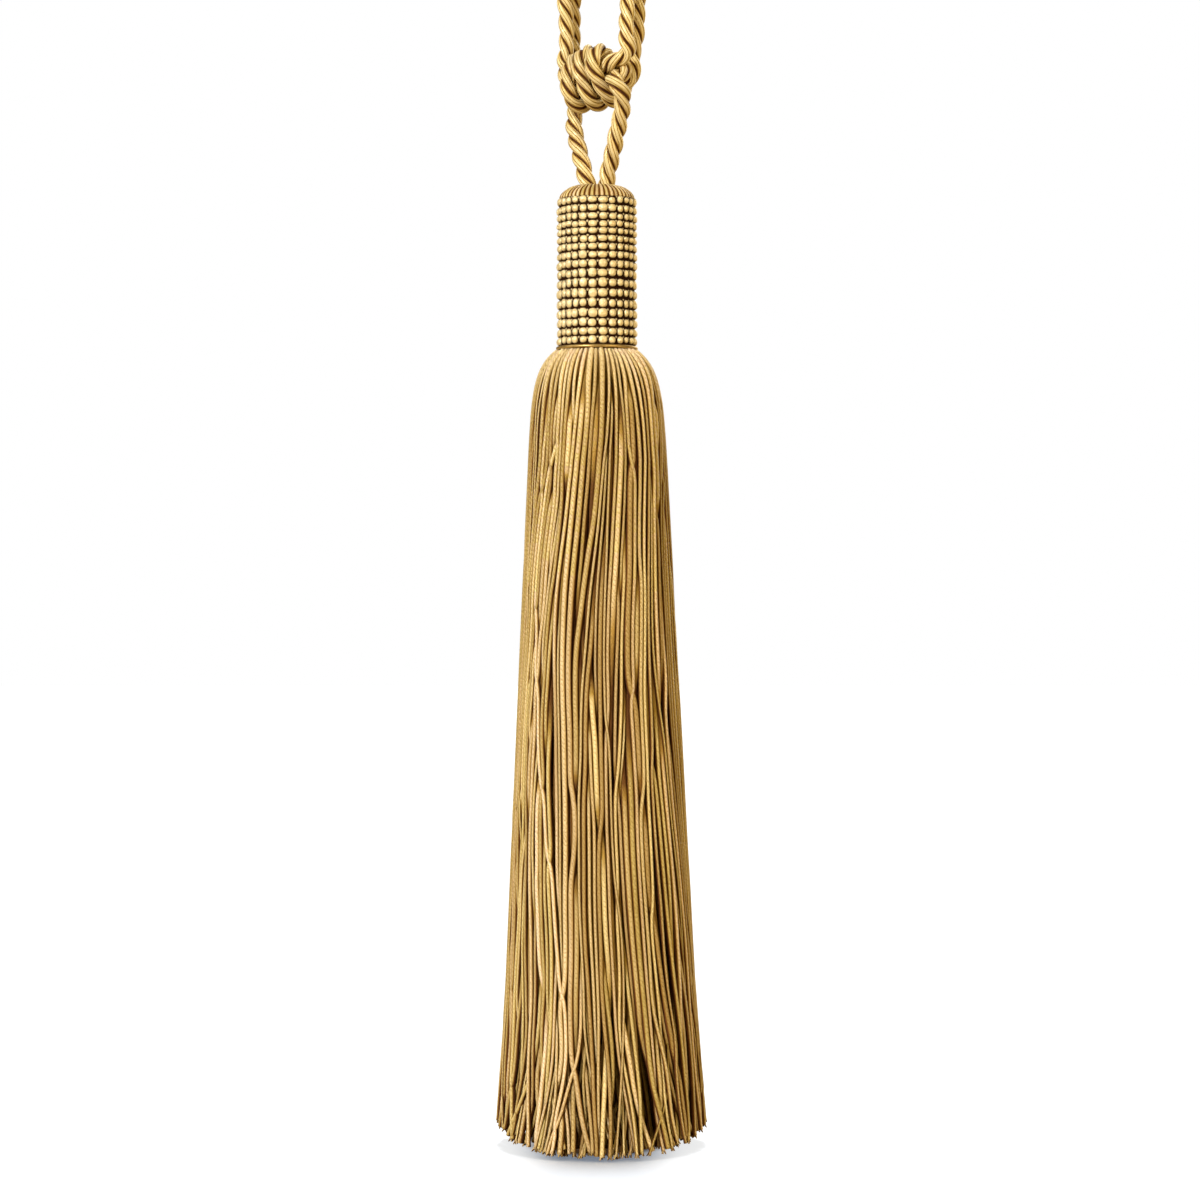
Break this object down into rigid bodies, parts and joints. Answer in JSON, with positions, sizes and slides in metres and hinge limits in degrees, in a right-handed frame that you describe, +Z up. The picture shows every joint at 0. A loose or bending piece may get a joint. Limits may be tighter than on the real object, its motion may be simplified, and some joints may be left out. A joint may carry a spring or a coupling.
{
  "type": "silk tassel",
  "caption": "Gold silk tassel with a beaded cylindrical head and a long skirt of cut strands, hung by a cord knotted round a doubled cord loop.",
  "frame": {"origin": "the point where the top of the hanging loop rests on what holds it", "axes": "+Z up along the tassel's length, -Y to the front, +X to the right as seen from the front"},
  "size_m": [0.0693, 0.0692, 0.4109],
  "materials": {
    "skirt_silk": "satin yarn",
    "mould_silk": "satin thread",
    "bead_gold": "satin gold",
    "ring_gold": "satin gold",
    "cord_silk": "satin cord"
  },
  "bodies": {
    "root": {"skirt": "skirt_silk", "head_mould": "mould_silk", "bead_sleeve": "bead_gold", "neck_ring": "ring_gold", "tassel_cord": "cord_silk", "embrace_cord_inner": "cord_silk", "embrace_cord_outer": "cord_silk"}
  },
  "joints": []
}
